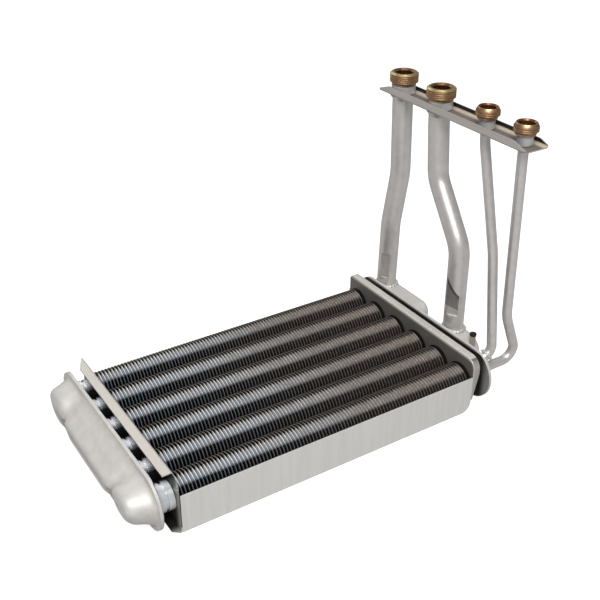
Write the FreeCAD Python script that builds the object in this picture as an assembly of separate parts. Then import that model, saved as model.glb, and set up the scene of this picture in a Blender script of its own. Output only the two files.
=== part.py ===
import FreeCAD, Part
import math
import os

# Boiler heat exchanger: six finned tubes in a sheet frame, a pressed header at
# each end, and four bent pipes that rise to a bracket of brass unions.
# Millimetres. +Z is up, +X runs from the single header to the header with the
# pipes, +Y is the far side. The origin is the middle of the frame's base.

V = FreeCAD.Vector

# Finned tubes
tube_count = 6
tube_pitch = 31.8
tube_radius = 11.0
tube_wall = 1.0
tube_axis_height = 26.6
tube_end_reach = 0.8
fin_tip_gap = 0.3
fin_root_height = 0.7
fin_count = 36
fin_sides = 12
fin_end_margin = 0.8
fin_end_land = 0.4

# Sheet frame
frame_length = 293.4
side_plate_thickness = 1.0
side_plate_clearance = 0.7
side_plate_height = 36.5
far_side_plate_height = 32.0
side_plate_corner = 10.0
side_tab_width = 4.5
side_tab_bottom = 4.0
side_tab_drop = 3.5
end_plate_thickness = 1.2
end_plate_height = 53.6
end_plate_corner = 11.0
end_plate_bend = 2.4
left_flange_width = 8.0
left_flange_near_end = 10.0
left_flange_leaf = 17.0
left_foot_width = 6.0
left_foot_slant = 5.0
right_flange_width = 6.0
right_flange_taper_top = 38.0
right_flange_taper_foot = 10.0
right_ear_step = 2.5
right_ear_bottom = 36.0
right_ear_corner = 3.0
right_foot_cut = 12.0

# Joints that are brazed keep this gap all round
braze_gap = 0.1

# Points nearer than this count as the same
tolerance = 1e-4

# Headers
header_gap = 15.0
header_plate_thickness = 1.5
header_half_height = 24.5
header_overhang = 22.1
end_collar_length = 5.5
header_collar_length = 7.0
collar_wall = 1.2
cap_wall = 1.2
cap_brim = 5.5

# Cap of the single header: a low skirt, a dome on it and three bulges on the dome
left_skirt_depth = 12.0
left_skirt_edge = 10.0
left_dome_depth = 19.5
left_dome_edge = 13.5
left_dome_inset = 1.0
left_dome_far_inset = 7.0
left_dome_near_inset = 4.5
left_bulge_rise = 3.0
left_far_bulge_rise = 2.0
left_bulge_inset = 2.5
left_bulge_end_inset = 2.0
left_bulge_edge = 12.0
left_valley_far = 48.0
left_valley_near = -53.0
left_valley_width = 3.0

# Cap of the header with the pipes: two chambers, a saddle and a shoulder
right_cap_depth = 24.5
right_cap_edge = 6.0
right_cap_corner = 11.0
right_gap_far = 14.0
right_gap_near = -17.0
right_near_end = -63.5
shoulder_edge = 9.5
shoulder_end_inset = 2.0
shoulder_inset = 0.8
shoulder_overlap = 24.0
saddle_edge = 8.0
saddle_overlap = 12.0
inner_clearance = 0.5
partition_thickness = 1.5

# Hot-water tubes inside the finned tubes
water_tube_wall = 0.8
water_tube_reach = 0.5
spigot_depth = 4.0
return_bend_radius = 6.0
transfer_rise = 10.0
transfer_bend_radius = 4.9
transfer_joint_y = -60.0

# Bent pipes
heating_pipe_radius = 9.7
heating_pipe_wall = 1.0
water_pipe_radius = 4.5
water_pipe_wall = 0.8
pipe_line_offset = 33.0
pipe_top_run = 10.0
foot_line_offset = 28.0
foot_depth = 1.5
heating_far_y = 68.5
heating_near_y = 15.8
water_inner_y = -44.3
water_outer_y = -89.2

# Turns of the pipes: drops are below the bracket, rises above what they end in or
# the turn below, steps run along the header and the rest goes away from it
heating_far_belly = 2.4
heating_far_belly_rise = 52.0
heating_far_elbow_rise = 70.4
heating_far_elbow_step = 1.0
heating_far_foot_step = 3.1
heating_near_elbow_drop = 62.2
heating_near_elbow_step = 5.0
heating_near_knee_drop = 119.1
heating_near_knee_step = 44.2
heating_near_knee_inset = 1.0
heating_near_foot_step = 48.5
heating_near_foot_out = 1.0
water_inner_elbow_drop = 106.8
water_inner_elbow_step = 24.7
water_inner_elbow_out = 0.4
water_inner_knee_rise = 8.4
water_inner_knee_step = 1.2
water_inner_knee_out = 1.6
water_outer_elbow_rise = 54.0
water_outer_elbow_step = 4.2
water_outer_elbow_out = 10.8
water_outer_knee_out = 36.0
long_bend_radius = 90.0
near_elbow_radius = 32.0
near_foot_radius = 38.0
water_bend_radius = 80.0
water_elbow_radius = 40.0
water_knee_radius = 12.0
water_entry_radius = 11.0

# Flats pressed in the heating pipes above their feet
patch_depth = 1.2
patch_far_length = 27.0
patch_near_length = 19.5
patch_bearing = 215.0
patch_far_rise = 14.0
patch_near_rise = 20.4

# Unions, collars and beads at the top of the pipes
heating_union_length = 12.0
water_union_length = 10.0
heating_collar_height = 8.0
water_collar_height = 9.3
union_neck_land = 1.6
union_neck_length = 3.3
union_socket_depth = 3.0
heating_thread_radius = 13.22
heating_neck_radius = 11.2
heating_bore_radius = 8.2
heating_chamfer = 1.4
heating_collar_radius = 11.2
heating_bead_radius = 12.5
water_thread_radius = 10.48
water_neck_radius = 8.6
water_bore_radius = 7.0
water_chamfer = 1.6
water_chamfer_length = 3.2
water_collar_radius = 7.0
water_bead_radius = 8.2
bead_length = 4.5
collar_chamfer = 1.0

# Bracket
bracket_width = 26.0
bracket_sheet = 1.2
bracket_fold_radius = 2.2
bracket_floor_height = 246.8
bracket_front_leaf = 7.4
bracket_back_leaf = 6.0
bracket_far_end = 88.0
bracket_near_end = -103.0
bracket_end_slant = 13.0
bracket_end_land = 1.6

# Sensor pocket
pocket_radius = 2.8
pocket_bore_radius = 2.0
pocket_floor = 1.0
pocket_bottom_rise = 8.0
pocket_top_rise = 24.4
pocket_end_distance = 5.0
pocket_line_offset = 31.0
pocket_cap_radius = 3.25
pocket_cap_top = 1.2
pocket_cap_skirt = 0.8

# Sizes that follow from the ones above
half_length = frame_length / 2
outer_axis = tube_pitch * (tube_count - 1) / 2
fin_radius = (tube_pitch - fin_tip_gap) / 2
fin_root_radius = tube_radius + fin_root_height
half_width = outer_axis + fin_radius + side_plate_clearance + side_plate_thickness
tube_hole_radius = tube_radius + braze_gap
collar_radius = tube_hole_radius + collar_wall
brim_face = half_length + header_gap + header_plate_thickness
tube_end = brim_face + tube_end_reach
header_end = outer_axis + header_overhang
cap_half_height = header_half_height - cap_brim
cap_end = header_end - cap_brim
pipe_line = half_length + pipe_line_offset
foot_line = half_length + foot_line_offset
pocket_line = half_length + pocket_line_offset
water_bore = water_pipe_radius + braze_gap
water_tube_radius = water_bore + water_tube_wall
water_tube_end = tube_end + water_tube_reach
transfer_height = tube_axis_height + transfer_rise
transfer_line = water_tube_end + transfer_bend_radius + braze_gap
bend_reach = water_tube_end + return_bend_radius + water_pipe_radius
saddle_depth = bend_reach + inner_clearance + cap_wall - brim_face
saddle_half_height = transfer_rise + water_pipe_radius + inner_clearance + cap_wall
shoulder_depth = transfer_line + water_pipe_radius + inner_clearance + cap_wall - brim_face
floor_top = bracket_floor_height + bracket_sheet
heating_seat = floor_top + heating_collar_height
water_seat = floor_top + water_collar_height
heating_pipe_top = heating_seat + union_socket_depth
water_pipe_top = water_seat + union_socket_depth
pipe_bend_start = bracket_floor_height - pipe_top_run
cap_top = tube_axis_height + cap_half_height
foot_height = cap_top - cap_wall - foot_depth
pocket_y = right_near_end + pocket_end_distance
pocket_bottom = tube_axis_height + pocket_bottom_rise
pocket_top = tube_axis_height + pocket_top_rise
tube_axes = [outer_axis - tube_pitch * index for index in range(tube_count)]
partition_y = (tube_axes[tube_count // 2 - 1] + tube_axes[tube_count // 2]) / 2


def box(x_low, x_high, y_low, y_high, z_low, z_high):
    """A block between two corners."""
    return Part.makeBox(x_high - x_low, y_high - y_low, z_high - z_low, V(x_low, y_low, z_low))


def cylinder_x(radius, x_low, x_high, y, z):
    """A cylinder along X."""
    return Part.makeCylinder(radius, x_high - x_low, V(x_low, y, z), V(1, 0, 0))


def cylinder_z(radius, z_low, z_high, x, y):
    """A cylinder along Z."""
    return Part.makeCylinder(radius, z_high - z_low, V(x, y, z_low), V(0, 0, 1))


def extruded(points, direction):
    """A closed outline of straight lines, extruded."""
    return Part.Face(Part.makePolygon(points + points[:1])).extrude(direction)


def flip(shape):
    """The same shape at the other end of the frame."""
    return shape.mirror(V(0, 0, 0), V(1, 0, 0))


def round_end(x, y_end, side, half_height, corner):
    """The edges of one end of a block: two corners, with a straight between if there is room."""
    low = tube_axis_height - half_height
    high = tube_axis_height + half_height
    start = y_end - side * corner
    slack = corner * (1 - math.sqrt(0.5))
    low_turn = V(x, y_end, low + corner)
    high_turn = V(x, y_end, high - corner)
    edges = [Part.Arc(V(x, start, low), V(x, y_end - side * slack, low + slack), low_turn).toShape()]
    if corner < half_height:
        edges.append(Part.LineSegment(low_turn, high_turn).toShape())
    edges.append(Part.Arc(high_turn, V(x, y_end - side * slack, high - slack), V(x, start, high)).toShape())
    return edges


def long_block(y_low, y_high, half_height, x, depth, low_corner, high_corner):
    """A block square to X about the line of the tube axes, with round corners at each end."""
    low = tube_axis_height - half_height
    high = tube_axis_height + half_height
    near = y_low + low_corner
    far = y_high - high_corner
    edges = [
        Part.LineSegment(V(x, near, low), V(x, far, low)).toShape(),
        Part.LineSegment(V(x, near, high), V(x, far, high)).toShape(),
    ]
    edges += round_end(x, y_high, 1, half_height, high_corner)
    edges += round_end(x, y_low, -1, half_height, low_corner)
    outline = Part.Wire(Part.__sortEdges__(edges))
    return Part.Face(outline).extrude(V(depth, 0, 0))


def stadium(y_low, y_high, half_height, x, depth):
    """A long block with half-round ends."""
    return long_block(y_low, y_high, half_height, x, depth, half_height, half_height)


def edges_at_x(shape, x):
    """The edges that lie in the plane at x."""
    found = []
    for edge in shape.Edges:
        bounds = edge.BoundBox
        if abs(bounds.XMin - x) < tolerance and abs(bounds.XMax - x) < tolerance:
            found.append(edge)
    return found


def pressed_bulge(y_low, y_high, half_height, depth, edge, inset, low_corner, high_corner):
    """A block pressed out of the brim, with a round outer edge, drawn in by inset."""
    body = long_block(
        y_low + inset, y_high - inset, half_height - inset, brim_face, depth - inset,
        low_corner - inset, high_corner - inset,
    )
    return body.makeFillet(edge - inset, edges_at_x(body, brim_face + depth - inset))


def domed_stadium(y_low, y_high, half_height, depth, edge, inset):
    """A pressed bulge with half-round ends."""
    return pressed_bulge(y_low, y_high, half_height, depth, edge, inset, half_height, half_height)


def rounded_path(points, radii):
    """Straight runs joined by tangent arcs, one radius for each inner point."""
    edges = []
    start = points[0]
    for index, radius in enumerate(radii, 1):
        corner = points[index]
        back = (points[index - 1] - corner).normalize()
        ahead = (points[index + 1] - corner).normalize()
        half_turn = (math.pi - back.getAngle(ahead)) / 2
        tangent = radius * math.tan(half_turn)
        first = corner + back * tangent
        last = corner + ahead * tangent
        inward = (back + ahead).normalize()
        middle = corner + inward * (radius / math.cos(half_turn) - radius)
        edges.append(Part.LineSegment(start, first).toShape())
        edges.append(Part.Arc(first, middle, last).toShape())
        start = last
    edges.append(Part.LineSegment(start, points[-1]).toShape())
    return Part.Wire(edges)


def swept_rod(points, radii, radius):
    """A round rod along a path of straight runs and arcs."""
    path = rounded_path(points, radii)
    heading = points[1] - points[0]
    section = Part.Wire(Part.makeCircle(radius, points[0], heading))
    return path.makePipeShell([section], True, False)


def bent_tube(points, radii, radius, wall):
    """A tube along a path of straight runs and arcs."""
    return swept_rod(points, radii, radius).cut(swept_rod(points, radii, radius - wall))


def turned(x, y, outline):
    """A solid of revolution about a vertical line, from radius and height pairs."""
    points = [V(x + radius, y, height) for radius, height in outline]
    face = Part.Face(Part.makePolygon(points + points[:1]))
    return face.revolve(V(x, y, 0), V(0, 0, 1), 360)


def fin_ring(x, radius):
    """The corners of one many-sided ring round the tube's own axis."""
    reach = radius / math.cos(math.pi / fin_sides)
    corners = []
    for index in range(fin_sides):
        angle = 2 * math.pi * (index + 0.5) / fin_sides
        corners.append(V(x, reach * math.cos(angle), reach * math.sin(angle)))
    return corners


def finned_tube():
    """One tube on the X axis with its row of rolled fins, open at both ends."""
    field_start = -half_length + end_plate_thickness + fin_end_margin
    field_length = -2 * field_start
    pitch = (field_length - 2 * fin_end_land) / fin_count
    tip_radius = fin_radius * math.cos(math.pi / fin_sides)
    rings = [fin_ring(field_start, fin_root_radius)]
    for index in range(fin_count):
        root = field_start + fin_end_land + pitch * index
        rings.append(fin_ring(root, fin_root_radius))
        rings.append(fin_ring(root + pitch / 2, tip_radius))
    rings.append(fin_ring(-field_start - fin_end_land, fin_root_radius))
    rings.append(fin_ring(-field_start, fin_root_radius))
    faces = []
    for ring in (rings[0], rings[-1]):
        faces.append(Part.Face(Part.makePolygon(ring + ring[:1])))
    for ring, following in zip(rings, rings[1:]):
        for index in range(fin_sides):
            turn = (index + 1) % fin_sides
            corners = [ring[index], ring[turn], following[turn], following[index]]
            faces.append(Part.Face(Part.makePolygon(corners + corners[:1])))
    shell = Part.Shell(faces)
    ridges = Part.Solid(shell)
    if ridges.Volume < 0:
        ridges.reverse()
    blank = cylinder_x(tube_radius, -tube_end, tube_end, 0, 0)
    bore = cylinder_x(tube_radius - tube_wall, -tube_end - 1, tube_end + 1, 0, 0)
    return blank.fuse(ridges).cut(bore)


def tube_row(radius, x_low, x_high):
    """Six cylinders on the tube axes, as one tool."""
    rods = [cylinder_x(radius, x_low, x_high, y, tube_axis_height) for y in tube_axes]
    return rods[0].multiFuse(rods[1:])


def plate_outline(offset, near_corner, far_corner):
    """The end plate's outline drawn in by offset, with its two round top corners."""
    near = -half_width + offset
    far = half_width - offset
    top = end_plate_height - offset
    near_round = near_corner - offset
    far_round = far_corner - offset
    slack = 1 - math.sqrt(0.5)
    edges = [
        Part.LineSegment(V(0, near, 0), V(0, far, 0)).toShape(),
        Part.LineSegment(V(0, far, 0), V(0, far, top - far_round)).toShape(),
        Part.Arc(
            V(0, far, top - far_round),
            V(0, far - far_round * slack, top - far_round * slack),
            V(0, far - far_round, top),
        ).toShape(),
        Part.LineSegment(V(0, far - far_round, top), V(0, near + near_round, top)).toShape(),
        Part.Arc(
            V(0, near + near_round, top),
            V(0, near + near_round * slack, top - near_round * slack),
            V(0, near, top - near_round),
        ).toShape(),
        Part.LineSegment(V(0, near, top - near_round), V(0, near, 0)).toShape(),
    ]
    return Part.Face(Part.Wire(edges))


def folded_rim(width, near_corner, far_corner):
    """A plate with a rim folded outwards all round its sides and top, bend included."""
    inner_face = half_length - end_plate_thickness
    outer = plate_outline(0, near_corner, far_corner)
    outer.translate(V(inner_face, 0, 0))
    body = outer.extrude(V(end_plate_thickness + width, 0, 0))
    folds = []
    for edge in edges_at_x(body, inner_face):
        if edge.BoundBox.ZMax > tolerance:
            folds.append(edge)
    body = body.makeFillet(end_plate_bend, folds)
    hollow = plate_outline(end_plate_thickness, near_corner, far_corner)
    hollow.translate(V(half_length, 0, 0))
    pocket = hollow.extrude(V(width, 0, 0))
    return body.cut(pocket)


def with_tube_collars(plate):
    """The plate with a hole and an outward collar drawn at each tube."""
    collars = tube_row(collar_radius, half_length - end_plate_thickness / 2, half_length + end_collar_length)
    holes = tube_row(tube_hole_radius, 0, brim_face)
    return plate.fuse(collars).cut(holes)


def foot_flange():
    """The strip folded out along the left end plate's foot, slanted at both ends."""
    out = half_length + left_foot_width
    far = half_width - left_foot_slant
    outline = [
        V(half_length, -half_width, 0),
        V(out, -far, 0),
        V(out, far, 0),
        V(half_length, half_width, 0),
    ]
    return extruded(outline, V(0, 0, end_plate_thickness))


def frame_end_plate_left():
    """End plate with a leaf-shaped flange along its top and a strip along its foot."""
    plate = folded_rim(left_flange_width, end_plate_corner, end_plate_bend)
    out = half_length + left_flange_width
    face = half_length
    beyond = 2 * half_width
    near_cut = -half_width + left_flange_near_end
    far_start = half_width - left_flange_leaf
    spare = end_plate_height - end_plate_thickness - end_plate_bend
    lower = box(face, out, -beyond, beyond, -1, spare)
    near = box(face, out, -beyond, near_cut, -1, end_plate_height + 1)
    leaf = extruded(
        [V(out, far_start, -1), V(face, half_width, -1), V(face, beyond, -1), V(out + 1, beyond, -1),
         V(out + 1, far_start, -1)],
        V(0, 0, 2 * end_plate_height),
    )
    plate = plate.cut(lower).cut(near).cut(leaf).fuse(foot_flange())
    return flip(with_tube_collars(plate))


def frame_end_plate_right():
    """End plate whose flange wraps the near top corner and tapers down the near side."""
    plate = folded_rim(right_flange_width, end_plate_corner, end_plate_bend)
    out = half_length + right_flange_width
    face = half_length
    taper = extruded(
        [V(face, -2 * half_width, right_flange_taper_foot), V(out, -2 * half_width, right_flange_taper_top),
         V(out + 1, -2 * half_width, right_flange_taper_top), V(out + 1, -2 * half_width, -1),
         V(face, -2 * half_width, -1)],
        V(0, 2 * half_width, 0),
    )
    ear = half_width - right_ear_step
    top = end_plate_height + 1
    far_side = box(face, out, ear - end_plate_bend, half_width + 1, -1, end_plate_height - end_plate_bend)
    step = box(0, out, ear, half_width + 1, right_ear_bottom, top)
    corner = extruded(
        [V(0, ear - right_ear_corner, top), V(0, ear - right_ear_corner, end_plate_height),
         V(0, ear, end_plate_height - right_ear_corner), V(0, ear + 1, top)],
        V(out, 0, 0),
    )
    foot = extruded(
        [V(0, -half_width - 1, -1), V(0, -half_width - 1, right_foot_cut), V(0, -half_width, right_foot_cut),
         V(0, -half_width + right_foot_cut, 0), V(0, -half_width + right_foot_cut, -1)],
        V(out, 0, 0),
    )
    plate = plate.cut(taper).cut(far_side).cut(step).cut(corner).cut(foot)
    return with_tube_collars(plate)


def side_plate(height):
    """The near side plate: a flat sheet with a round lower corner and two end tabs."""
    outer_face = -half_width
    inner_face = outer_face + side_plate_thickness
    end = half_length - end_plate_thickness
    sheet = box(-end, end, outer_face, inner_face, 0, height)
    corner = []
    for edge in sheet.Edges:
        bounds = edge.BoundBox
        if bounds.XMin > end - tolerance and bounds.ZMax < tolerance:
            corner.append(edge)
    sheet = sheet.makeFillet(side_plate_corner, corner)
    tab_edge = inner_face + side_tab_width
    tab_top = height - side_tab_drop
    left_tab = box(-end, -end + side_plate_thickness, inner_face, tab_edge, side_tab_bottom, tab_top)
    right_tab = box(end - side_plate_thickness, end, inner_face, tab_edge, side_plate_corner, tab_top)
    return sheet.fuse(left_tab).fuse(right_tab).removeSplitter()


def header_tube_plate():
    """Stadium plate with a collar drawn towards the frame at each tube."""
    inner_face = half_length + header_gap
    plate = stadium(-header_end, header_end, header_half_height, inner_face, header_plate_thickness)
    middle = inner_face + header_plate_thickness / 2
    collars = tube_row(collar_radius, inner_face - header_collar_length, middle)
    holes = tube_row(tube_hole_radius, 0, tube_end + 1)
    return plate.fuse(collars).cut(holes)


def cap_with_brim(outer, inner):
    """A pressed cap: the outer form and its flat brim, hollowed from the brim face."""
    brim = stadium(-header_end, header_end, header_half_height, brim_face, cap_wall)
    return brim.fuse(outer).cut(inner).removeSplitter()


def left_cap_form(inset):
    """The left cap's skirt and dome with the three bulges, drawn in by inset."""
    bulge_depth = left_dome_depth + left_bulge_rise
    half_gap = left_valley_width / 2
    dome_far = cap_end - left_dome_far_inset
    dome_near = -cap_end + left_dome_near_inset
    bulges = [
        (left_valley_far + half_gap, dome_far - left_bulge_end_inset, left_dome_depth + left_far_bulge_rise),
        (left_valley_near + half_gap, left_valley_far - half_gap, bulge_depth),
        (dome_near + left_bulge_end_inset, left_valley_near - half_gap, bulge_depth),
    ]
    form = domed_stadium(-cap_end, cap_end, cap_half_height, left_skirt_depth, left_skirt_edge, inset)
    half_height = cap_half_height - left_dome_inset
    form = form.fuse(domed_stadium(dome_near, dome_far, half_height, left_dome_depth, left_dome_edge, inset))
    for low, high, depth in bulges:
        half_height = cap_half_height - left_bulge_inset
        form = form.fuse(domed_stadium(low, high, half_height, depth, left_bulge_edge, inset))
    return form


def header_cap_left():
    """Single-chamber cap that turns the water round, with three pressed bulges."""
    return flip(cap_with_brim(left_cap_form(0), left_cap_form(cap_wall)))


def saddle(inset):
    """The low bridge between the two chambers, drawn in by inset."""
    half_height = saddle_half_height - inset
    low = right_gap_near - saddle_overlap
    high = right_gap_far + saddle_overlap
    face = brim_face + saddle_depth - inset
    body = box(brim_face, face, low, high, tube_axis_height - half_height, tube_axis_height + half_height)
    long_edges = []
    for edge in edges_at_x(body, face):
        if edge.Length > high - low - tolerance:
            long_edges.append(edge)
    return body.makeFillet(saddle_edge - inset, long_edges)


def right_cap_form(inset):
    """The right cap's two chambers, the shoulder over the near tube and the saddle."""
    far = pressed_bulge(
        right_gap_far, cap_end, cap_half_height, right_cap_depth, right_cap_edge, inset,
        right_cap_corner, cap_half_height,
    )
    near = pressed_bulge(
        right_near_end, right_gap_near, cap_half_height, right_cap_depth, right_cap_edge, inset,
        cap_half_height, right_cap_corner,
    )
    shoulder = domed_stadium(
        -cap_end + shoulder_end_inset, right_near_end + shoulder_overlap, cap_half_height - shoulder_inset,
        shoulder_depth, shoulder_edge, inset,
    )
    return far.fuse(near).fuse(shoulder).fuse(saddle(inset))


def heating_far_points():
    """The far heating pipe: straight down, a slow S towards the header, and down."""
    elbow_height = cap_top + heating_far_elbow_rise
    return [
        V(pipe_line, heating_far_y, heating_pipe_top),
        V(pipe_line, heating_far_y, pipe_bend_start),
        V(pipe_line + heating_far_belly, heating_far_y, elbow_height + heating_far_belly_rise),
        V(foot_line, heating_far_y + heating_far_elbow_step, elbow_height),
        V(foot_line, heating_far_y + heating_far_foot_step, foot_height),
    ]


def heating_near_points():
    """The near heating pipe: down, slanted towards the near chamber, and down."""
    return [
        V(pipe_line, heating_near_y, heating_pipe_top),
        V(pipe_line, heating_near_y, pipe_bend_start),
        V(pipe_line, heating_near_y - heating_near_elbow_step,
          bracket_floor_height - heating_near_elbow_drop),
        V(pipe_line - heating_near_knee_inset, heating_near_y - heating_near_knee_step,
          bracket_floor_height - heating_near_knee_drop),
        V(foot_line + heating_near_foot_out, heating_near_y - heating_near_foot_step, foot_height),
    ]


def water_inner_points():
    """The hot-water pipe that enters the header above the near tube."""
    return [
        V(pipe_line, water_inner_y, water_pipe_top),
        V(pipe_line, water_inner_y, pipe_bend_start),
        V(pipe_line + water_inner_elbow_out, water_inner_y - water_inner_elbow_step,
          bracket_floor_height - water_inner_elbow_drop),
        V(pipe_line + water_inner_knee_out, -outer_axis - water_inner_knee_step,
          transfer_height + water_inner_knee_rise),
        V(transfer_line, -outer_axis, transfer_height),
        V(transfer_line, transfer_joint_y, transfer_height),
    ]


def water_outer_points():
    """The hot-water pipe that swings out and comes back along the near tube's axis."""
    return [
        V(pipe_line, water_outer_y, water_pipe_top),
        V(pipe_line, water_outer_y, pipe_bend_start),
        V(pipe_line + water_outer_elbow_out, water_outer_y + water_outer_elbow_step,
          tube_axis_height + water_outer_elbow_rise),
        V(pipe_line + water_outer_knee_out, -outer_axis, tube_axis_height),
        V(water_tube_end - spigot_depth, -outer_axis, tube_axis_height),
    ]


heating_far_radii = [long_bend_radius, long_bend_radius, long_bend_radius]
heating_near_radii = [long_bend_radius, near_elbow_radius, near_foot_radius]
water_inner_radii = [water_elbow_radius, water_bend_radius, water_entry_radius, transfer_bend_radius]
water_outer_radii = [water_bend_radius, water_elbow_radius, water_knee_radius]


def bead(top, radius, bead_radius):
    """The bead under the bracket's floor, which widens towards it."""
    base = V(top.x, top.y, bracket_floor_height - bead_length)
    return Part.makeCone(radius, bead_radius, bead_length, base, V(0, 0, 1))


def pipe_with_bead(points, radii, radius, wall, bead_radius):
    """A bent pipe with the bead under the bracket's floor."""
    shape = swept_rod(points, radii, radius).fuse(bead(points[0], radius, bead_radius))
    return shape.cut(swept_rod(points, radii, radius - wall))


def pressed_flat(points, rise, length, inset):
    """A tool that presses a flat on a heating pipe's last run, moved in by inset."""
    foot = points[-1]
    share = (rise + length / 2) / (points[-2].z - foot.z)
    middle = foot + (points[-2] - foot) * share
    face = heating_pipe_radius - patch_depth - inset
    tool = box(
        face, 2 * heating_pipe_radius, -heating_pipe_radius, heating_pipe_radius,
        -length / 2 - inset, length / 2 + inset,
    )
    tool.rotate(V(0, 0, 0), V(0, 0, 1), patch_bearing)
    tool.translate(middle)
    return tool


def heating_pipe(points, radii, rise, length):
    """A heating pipe with its bead, and a flat pressed in at a rise above its foot."""
    outer = swept_rod(points, radii, heating_pipe_radius).cut(pressed_flat(points, rise, length, 0))
    bore = swept_rod(points, radii, heating_pipe_radius - heating_pipe_wall)
    bore = bore.cut(pressed_flat(points, rise, length, heating_pipe_wall))
    return outer.fuse(bead(points[0], heating_pipe_radius, heating_bead_radius)).cut(bore)


def heating_pipe_far():
    """The far heating pipe with its bead and its flat."""
    return heating_pipe(heating_far_points(), heating_far_radii, patch_far_rise, patch_far_length)


def heating_pipe_near():
    """The near heating pipe with its bead and its flat."""
    return heating_pipe(heating_near_points(), heating_near_radii, patch_near_rise, patch_near_length)


def hot_water_pipe_inner():
    """The hot-water pipe that ends above the near tube, inside the header."""
    return pipe_with_bead(
        water_inner_points(), water_inner_radii, water_pipe_radius, water_pipe_wall, water_bead_radius,
    )


def hot_water_pipe_outer():
    """The hot-water pipe that ends in the near tube's inner tube."""
    return pipe_with_bead(
        water_outer_points(), water_outer_radii, water_pipe_radius, water_pipe_wall, water_bead_radius,
    )


def header_cap_right():
    """Cap with two chambers, holed for the four pipes and the sensor pocket."""
    cap = cap_with_brim(right_cap_form(0), right_cap_form(cap_wall))
    tools = [
        swept_rod(heating_far_points(), heating_far_radii, heating_pipe_radius + braze_gap),
        swept_rod(heating_near_points(), heating_near_radii, heating_pipe_radius + braze_gap),
        swept_rod(water_inner_points(), water_inner_radii, water_bore),
        swept_rod(water_outer_points(), water_outer_radii, water_bore),
        cylinder_z(pocket_radius + braze_gap, pocket_bottom - 1, pocket_top, pocket_line, pocket_y),
    ]
    for tool in tools:
        cap = cap.cut(tool)
    return cap


def header_partition():
    """The plate in the saddle that keeps the two chambers apart."""
    half = partition_thickness / 2
    slice_box = box(
        brim_face, brim_face + saddle_depth, partition_y - half, partition_y + half, 0, end_plate_height,
    )
    plate = saddle(cap_wall + braze_gap).common(slice_box)
    start = V(transfer_line, partition_y - partition_thickness, transfer_height)
    hole = Part.makeCylinder(water_bore, 2 * partition_thickness, start, V(0, 1, 0))
    return plate.cut(hole)


def inner_water_tube(y):
    """The hot-water tube inside one finned tube."""
    outer = cylinder_x(water_tube_radius, -water_tube_end, water_tube_end, y, tube_axis_height)
    bore = cylinder_x(water_bore, -water_tube_end, water_tube_end, y, tube_axis_height)
    return outer.cut(bore)


def return_bend(y_first, y_second):
    """A bend at the right that joins two inner tubes, its ends inside their bores."""
    start = water_tube_end - spigot_depth
    out = water_tube_end + return_bend_radius
    points = [
        V(start, y_first, tube_axis_height),
        V(out, y_first, tube_axis_height),
        V(out, y_second, tube_axis_height),
        V(start, y_second, tube_axis_height),
    ]
    return bent_tube(points, [return_bend_radius, return_bend_radius], water_pipe_radius, water_pipe_wall)


def transfer_tube():
    """The run from the far inner tube back along the header to the inner pipe."""
    out = transfer_line
    points = [
        V(out, transfer_joint_y, transfer_height),
        V(out, outer_axis, transfer_height),
        V(out, outer_axis, tube_axis_height),
        V(water_tube_end - spigot_depth, outer_axis, tube_axis_height),
    ]
    return bent_tube(points, [transfer_bend_radius, transfer_bend_radius], water_pipe_radius, water_pipe_wall)


def union(y, base, length, thread_radius, neck_radius, bore_radius, pipe_radius, chamfer, chamfer_length):
    """A brass union: neck, threaded body, chamfer, bore and the pipe's socket."""
    top = base + length
    socket = base + union_socket_depth
    socket_radius = pipe_radius + braze_gap
    outline = [
        (socket_radius, base),
        (neck_radius, base),
        (neck_radius, base + union_neck_land),
        (thread_radius, base + union_neck_length),
        (thread_radius, top - chamfer_length),
        (thread_radius - chamfer, top),
        (bore_radius, top),
        (bore_radius, socket),
        (socket_radius, socket),
    ]
    return turned(pipe_line, y, outline)


def heating_union(y):
    """A union for a heating pipe."""
    return union(y, heating_seat, heating_union_length, heating_thread_radius, heating_neck_radius,
                 heating_bore_radius, heating_pipe_radius, heating_chamfer, heating_chamfer)


def water_union(y):
    """A union for a hot-water pipe."""
    return union(y, water_seat, water_union_length, water_thread_radius, water_neck_radius,
                 water_bore_radius, water_pipe_radius, water_chamfer, water_chamfer_length)


def pipe_collar(y, radius, pipe_radius, seat):
    """The ring between the bracket's floor and a union."""
    outline = [
        (pipe_radius + braze_gap, floor_top),
        (radius - collar_chamfer, floor_top),
        (radius, floor_top + collar_chamfer),
        (radius, seat),
        (pipe_radius + braze_gap, seat),
    ]
    return turned(pipe_line, y, outline)


def heating_collar(y):
    """The ring under a heating union."""
    return pipe_collar(y, heating_collar_radius, heating_pipe_radius, heating_seat)


def water_collar(y):
    """The ring under a hot-water union."""
    return pipe_collar(y, water_collar_radius, water_pipe_radius, water_seat)


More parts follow.
